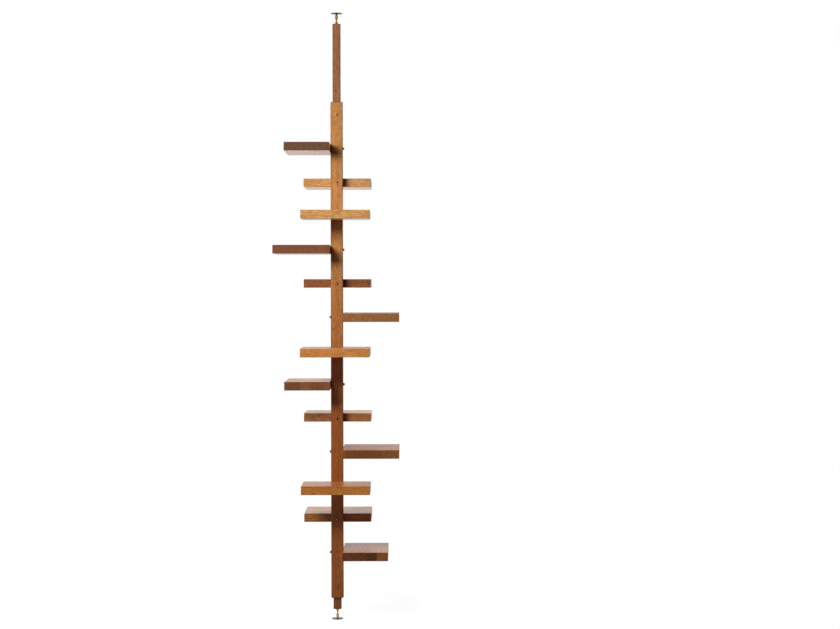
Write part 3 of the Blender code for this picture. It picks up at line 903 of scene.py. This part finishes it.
def build_lathe():
    """Geometry Nodes tree that turns a profile round the Z axis."""
    tree, given, result = new_tree(
        "lathe", "GeometryNodeTree",
        [
            ("Geometry", "Geometry", None),
            ("Facets", "Int", 48),
            ("Thread Pitch", "Float", 0.00125),
            *[(label, "Float", 0.0) for label in LATHE_NUMBERS],
            ("Finish", "Material", None),
        ],
        [("Geometry", "Geometry")],
    )
    profile = output(tree, "GeometryNodeMeshToCurve", {0: given["Geometry"]})
    profile = output(
        tree, "GeometryNodeTransform",
        {"Geometry": profile, "Translation": (-1.0, 0, 0), "Scale": (1, -1, 1)},
    )
    circle = output(
        tree, "GeometryNodeCurvePrimitiveCircle", {"Resolution": given["Facets"], "Radius": 1.0}
    )
    circle = output(tree, "GeometryNodeSetCurveNormal", {0: circle}, mode="Z_UP")
    shape = output(tree, "GeometryNodeCurveToMesh", {0: circle, 1: profile})
    shape = output(
        tree, "GeometryNodeMergeByDistance", {"Geometry": shape, "Distance": SAME_POINT}
    )

    position = output(tree, "GeometryNodeInputPosition")
    x, y, height = split(tree, position)
    flat = output(tree, "ShaderNodeCombineXYZ", {0: x, 1: y})
    radius = measure(tree, "LENGTH", flat)
    angle = maths(tree, "ARCTAN2", y, x)
    move = maths(
        tree, "ADD", thread_dent(tree, given, height, angle),
        hex_push(tree, given, height, radius, angle),
    )
    outward = vectors(tree, "NORMALIZE", flat)
    shift = output(tree, "ShaderNodeVectorMath", {0: outward, "Scale": move}, operation="SCALE")
    shape = output(tree, "GeometryNodeSetPosition", {"Geometry": shape, "Offset": shift})
    shape = output(
        tree, "GeometryNodeStoreNamedAttribute",
        {"Geometry": shape, "Name": "from_axis", "Value": position},
        data_type="FLOAT_VECTOR", domain="POINT",
    )
    finish_tree(tree, shape, given["Finish"], result)
    return tree


lathe = build_lathe()
print("lathe:", len(lathe.nodes), "nodes")

# %% [markdown]
# A Geometry Nodes modifier finds its inputs by the identifier of each socket.
# Once they are set, the evaluated object gives the finished mesh, which takes
# the place of the drawn profile, and the modifier goes. Spinning can leave
# faces inside out, so the normals are worked out again.

# %% Running a tree
SHARP_EDGE = math.radians(34)


def run_tree(thing, tree, values):
    """Apply a Geometry Nodes tree to an object and keep the result as a plain mesh."""
    modifier = thing.modifiers.new(tree.name, "NODES")
    modifier.node_group = tree
    for socket in tree.interface.items_tree:
        if socket.in_out == "INPUT" and socket.name in values:
            modifier[socket.identifier] = values[socket.name]
    graph = bpy.context.evaluated_depsgraph_get()
    made = bpy.data.meshes.new_from_object(
        thing.evaluated_get(graph), preserve_all_data_layers=True, depsgraph=graph
    )
    thing.modifiers.clear()
    thing.data = made
    made.name = thing.name
    work = bmesh.new()
    work.from_mesh(made)
    bmesh.ops.recalc_face_normals(work, faces=work.faces)
    work.to_mesh(made)
    work.free()
    made.shade_smooth()
    made.set_sharp_from_angle(angle=SHARP_EDGE)
    return thing


def turn_piece(name, profile, closed=False, **values):
    """Turn a profile of (radius, height) points into a piece along Z."""
    links = [(step, step + 1) for step in range(len(profile) - 1)]
    if closed:
        links.append((len(profile) - 1, 0))
    drawing = bpy.data.meshes.new(name)
    drawing.from_pydata([(radius, height, 0) for radius, height in profile], links, [])
    piece = bpy.data.objects.new(name, drawing)
    scene.collection.objects.link(piece)
    return run_tree(piece, lathe, {"Finish": turned_brass, **values})


print("the lathe has", len(lathe.interface.items_tree) - 1, "inputs")

# %% [markdown]
# A profile is a list of points. Curved parts are drawn through a few of them,
# and a threaded shank needs points that lie much closer than the pitch.

# %% Drawing profiles
def through(points, steps=6):
    """A smooth line through profile points, as a Catmull-Rom spline."""
    padded = [points[0]] + list(points) + [points[-1]]
    line = []
    for a, b, c, d in zip(padded, padded[1:], padded[2:], padded[3:]):
        for step in range(steps):
            t = step / steps
            line.append(tuple(
                0.5 * (2 * q + (r - p) * t + (2 * p - 5 * q + 4 * r - s) * t * t
                       + (3 * q - p - 3 * r + s) * t ** 3)
                for p, q, r, s in zip(a, b, c, d)
            ))
    return line + [tuple(points[-1])]


def rows(radius, low, high, spacing):
    """Closely spaced points up a straight shank, for a thread to shape."""
    count = max(1, round((high - low) / spacing))
    return [(radius, low + (high - low) * step / count) for step in range(count + 1)]


print("three points become", len(through([(0, 0), (1, 1), (2, 0)])))

# %% [markdown]
# A finished piece is moved inside its mesh, so its object stays at the origin.
# It rides on the body of the CAD nodes that it stands for.

# %% Settling pieces
def settle(piece, matrix, body, *replaced):
    """Move a piece's mesh to its place, and let it stand for CAD nodes on a body."""
    piece.data.transform(matrix)
    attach(piece, body)
    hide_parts(*replaced)


def facing(direction, height):
    """Matrix that lays a turned piece's Z along a direction, at some height."""
    turn = Vector(direction).to_track_quat("Z", "X").to_matrix().to_4x4()
    return Matrix.Translation((0, 0, height)) @ turn


# %% [markdown]
# ## Screws
# A bolt goes right through the post behind each shelf and pulls it tight. Its
# round head, with a hex socket, shows on the face opposite the shelf. The lock
# screws have the same head, so one profile draws them all.

# %% Screw profile
KEY_RADIUS = 0.0016
KEY_DEPTH = 0.0025
KEY_MARGIN = 0.0001
TIP = 0.0006
RIM = 0.0003
HEAD = 0.006
DOME = ((1.0, 0.30), (0.97, 0.52), (0.86, 0.74), (0.65, 0.91))


def screw_profile(tip, seat, shank, top, thread_top, pitch):
    """Profile of a round-headed screw with a hex socket, from its tip up."""
    line = [(0.0, tip), (shank - TIP, tip)]
    line += rows(shank, tip + TIP, thread_top, pitch / 6)
    line += [(shank, seat), (HEAD - RIM, seat), (HEAD, seat + RIM)]
    dome = [(HEAD * wide, seat + high * (top - seat)) for wide, high in DOME]
    line += through(dome + [(KEY_RADIUS + RIM, top)], 4)
    return line + [(KEY_RADIUS, top), (KEY_RADIUS, top - KEY_DEPTH), (0.0, top - KEY_DEPTH)]


print("key holes:", 2000 * KEY_RADIUS, "mm wide,", 1000 * KEY_DEPTH, "mm deep")

# %% Shelf bolt
BOLT_SHANK = 0.003
BOLT_PITCH = 0.001
BOLT_THREAD = 0.00045
THREAD_IN_SHELF = 0.002

bolt_low, bolt_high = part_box("shelf_bolt_01")
bolt_tip = bolt_low.x
bolt_seat = post_face + SEAM
bolt_top = bolt_high.x
thread_high = -(post_face + THREAD_IN_SHELF)
bolt_pattern = turn_piece(
    "bolt_pattern",
    screw_profile(bolt_tip, bolt_seat, BOLT_SHANK, bolt_top, thread_high, BOLT_PITCH),
    **{
        "Facets": 24, "Thread Pitch": BOLT_PITCH, "Thread Depth": BOLT_THREAD,
        "Thread Low": bolt_tip, "Thread High": thread_high,
        "Key Radius": KEY_RADIUS, "Key Floor": bolt_top - KEY_DEPTH - KEY_MARGIN,
    },
)
print("bolt from", round(bolt_tip * 1000, 1), "to", round(bolt_top * 1000, 1), "mm")

# %% [markdown]
# A second tree puts that bolt on thirteen points, one for each shelf. Each point
# carries the angle of its shelf as an attribute.

# %% Bolting tree
def build_bolting():
    """Geometry Nodes tree that puts a bolt on every point, turned to its side."""
    tree, given, result = new_tree(
        "bolting", "GeometryNodeTree",
        [("Geometry", "Geometry", None), ("Bolt", "Object", None), ("Finish", "Material", None)],
        [("Geometry", "Geometry")],
    )
    bolt = add_node(tree, "GeometryNodeObjectInfo", {"Object": given["Bolt"]}).outputs["Geometry"]
    angle = add_node(
        tree, "GeometryNodeInputNamedAttribute", {"Name": "side_turn"}, data_type="FLOAT"
    ).outputs["Attribute"]
    turn = output(tree, "ShaderNodeCombineXYZ", {1: math.pi / 2, 2: angle})
    turn = output(tree, "FunctionNodeEulerToRotation", {0: turn})
    points = output(tree, "GeometryNodeMeshToPoints", {"Mesh": given["Geometry"]})
    placed = output(
        tree, "GeometryNodeInstanceOnPoints",
        {"Points": points, "Instance": bolt, "Rotation": turn},
    )
    finish_tree(tree, placed, given["Finish"], result)
    return tree


bolting = build_bolting()
print("bolting:", len(bolting.nodes), "nodes")

# %% Shelf bolts
bolt_places = bpy.data.meshes.new("shelf_bolts")
heights = [sum(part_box(f"shelf_{number}"), Vector()).z / 2 for number in numbers]
bolt_places.from_pydata([(0, 0, height) for height in heights], [], [])
turns = bolt_places.attributes.new("side_turn", "FLOAT", "POINT")
for place, side in enumerate(sides):
    turns.data[place].value = math.radians(SIDE_TURN[side] + 180)
shelf_bolts = bpy.data.objects.new("shelf_bolts", bolt_places)
scene.collection.objects.link(shelf_bolts)
run_tree(shelf_bolts, bolting, {"Bolt": bolt_pattern, "Finish": screw_brass})
bpy.data.objects.remove(bolt_pattern, do_unlink=True)
settle(shelf_bolts, Matrix.Identity(4), "post", *[f"shelf_bolt_{number}" for number in numbers])
print("shelf bolts:", len(shelf_bolts.data.polygons), "faces")

# %% [markdown]
# The bolts bite into threaded brass bushes in the shelves. They are hidden, so
# the CAD solids stay and only get the brass finish.

# %% Bushes
for number in numbers:
    finish_node(f"shelf_insert_{number}", bush_brass)
print(len(numbers), "bushes finished")

# %% [markdown]
# Two lock screws at each end of the post hold a pole by its index holes. They
# move on their own, so each is a piece of its own, from the same profile. The
# head is a hair lower than its solid, so that it doesn't rub on the post when
# the screw is driven home.

# %% Lock screws
LOCK_SHANK = 0.004
LOCK_HEAD_HEIGHT = 0.0043
COARSE_PITCH = 0.00125
COARSE_THREAD = 0.0006
LOCK_NECK = 0.0004

for end in ("upper", "lower"):
    for side, outward_y in (("front", -1), ("back", 1)):
        node = f"{end}_{side}_lock_screw"
        low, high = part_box(node)
        near, far = sorted((abs(low.y), abs(high.y)))
        seat = far - LOCK_HEAD_HEIGHT
        screw = turn_piece(
            f"{node}_turned",
            screw_profile(near, seat, LOCK_SHANK, far, seat - LOCK_NECK, COARSE_PITCH),
            **{
                "Facets": 36, "Thread Pitch": COARSE_PITCH, "Thread Depth": COARSE_THREAD,
                "Thread Low": near, "Thread High": seat,
                "Key Radius": KEY_RADIUS, "Key Floor": far - KEY_DEPTH - KEY_MARGIN,
                "Finish": screw_brass,
            },
        )
        settle(screw, facing((0, outward_y, 0), (low.z + high.z) / 2), node, node)
print("lock screws: 4, each", len(screw.data.polygons), "faces")

# %% [markdown]
# ## Jacks
# At each end of the bookcase a flared ferrule sits on the pole, a threaded
# screw runs in it, and turning the barrel-shaped grip presses the pad outwards.
# All three are turned, and the heights are measured from the end of the pole.

# %% Ferrule and pad profiles
FIT = 0.0003
SLEEVE = 0.030
SLEEVE_RADIUS = 0.0070
FERRULE_TOP = 0.0125
JACK_BORE = 0.0041
PAD_HEIGHT = 0.009
PAD_RIM = 0.0030


def ferrule_profile():
    """Closed profile: sleeve in the pole, flared foot, neck and bore."""
    flare = [
        (0.0090, FIT + 0.0014), (0.0088, 0.0024), (0.0075, 0.0042),
        (0.0060, 0.0074), (0.0052, 0.0104), (0.0050, FERRULE_TOP - 0.0004),
    ]
    return [
        (JACK_BORE, -SLEEVE), (SLEEVE_RADIUS, -SLEEVE), (SLEEVE_RADIUS, FIT),
        (0.0087, FIT), (0.0090, FIT + 0.0003), *through(flare, 5),
        (0.0047, FERRULE_TOP), (JACK_BORE + 0.0003, FERRULE_TOP),
        (JACK_BORE, FERRULE_TOP - 0.0004),
    ]


def pad_profile():
    """Thin disc with a flared hub and a socket for the screw's journal."""
    base = PAD_HEIGHT - PAD_RIM
    cone = [
        (0.0247, base - 0.0001), (0.0172, base - 0.12 * base), (0.0098, base - 0.30 * base),
        (0.0060, base - 0.58 * base), (0.0046, 0.0009),
    ]
    return [
        (0.0, PAD_HEIGHT), (0.0244, PAD_HEIGHT), (0.02485, PAD_HEIGHT - 0.0003),
        (0.0250, PAD_HEIGHT - 0.0007), (0.0250, base + 0.0003), (0.02485, base),
        *through(cone, 6),
        (0.0045, 0.0006), (0.0043, 0.0), (0.0028, 0.0), (0.0028, 0.0048), (0.0, 0.0048),
    ]


print("profile points:", len(ferrule_profile()), len(pad_profile()))

# %% [markdown]
# The screw, the barrel grip and the journal that the pad swivels on are turned
# from one bar, with the thread of the lock screws. The grip swells from the
# screw's radius to its own and back.

# %% Jack screw profile
JACK_RADIUS = 0.0038
JACK_TAIL = -SLEEVE - 0.020
JOURNAL_RADIUS = 0.0025
JOURNAL_LENGTH = 0.0042
BARREL = (
    (0.0, 0.0), (0.35, 0.08), (0.78, 0.22), (1.0, 0.42),
    (1.0, 0.70), (0.95, 0.88), (0.80, 0.95), (0.50, 1.0),
)


def jack_profile(hub, grip_length, grip_radius):
    """Screw, barrel grip and journal in one piece; hub is where the pad starts."""
    start = hub - FIT - grip_length
    spread = grip_radius - JACK_RADIUS
    line = [(0.0, JACK_TAIL), (JACK_RADIUS - TIP, JACK_TAIL)]
    line += rows(JACK_RADIUS, JACK_TAIL + TIP, start, COARSE_PITCH / 8)
    barrel = [(JACK_RADIUS + out * spread, start + up * grip_length) for out, up in BARREL]
    line += through(barrel, 5)[1:]
    journal_end = hub + JOURNAL_LENGTH
    line += [(JOURNAL_RADIUS, start + grip_length), (JOURNAL_RADIUS, journal_end)]
    return line + [(0.0, journal_end)]


print("a jack screw reaches", round(-1000 * JACK_TAIL), "mm into its pole")

# %% Jacks
# End, pole, direction, length shown, length and radius of the grip
JACKS = (
    ("ceiling", "upper_pole", 1, 0.0490, 0.0210, 0.0069),
    ("floor", "lower_pole", -1, 0.0465, 0.0145, 0.0060),
)
for end, pole, outward, shown, grip_length, grip_radius in JACKS:
    low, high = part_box(pole)
    pole_end = high.z if outward > 0 else low.z
    hub = shown - PAD_HEIGHT
    stand = facing((0, 0, outward), pole_end)
    ferrule = turn_piece(f"{end}_ferrule_turned", ferrule_profile(), closed=True, Facets=56)
    settle(ferrule, stand, pole, f"{end}_ferrule")
    jack = turn_piece(
        f"{end}_jack_screw_turned",
        jack_profile(hub, grip_length, grip_radius),
        **{
            "Facets": 40, "Thread Pitch": COARSE_PITCH, "Thread Depth": COARSE_THREAD,
            "Thread Low": JACK_TAIL, "Thread High": hub - FIT - grip_length,
        },
    )
    settle(jack, stand, f"{end}_jack_screw", f"{end}_jack_screw")
    pad = turn_piece(f"{end}_pad_turned", pad_profile(), Facets=72, Finish=pad_brass)
    settle(pad, facing((0, 0, outward), pole_end + outward * hub), f"{end}_pad", f"{end}_pad")
    print(end, "jack:", [len(piece.data.polygons) for piece in (ferrule, jack, pad)], "faces")
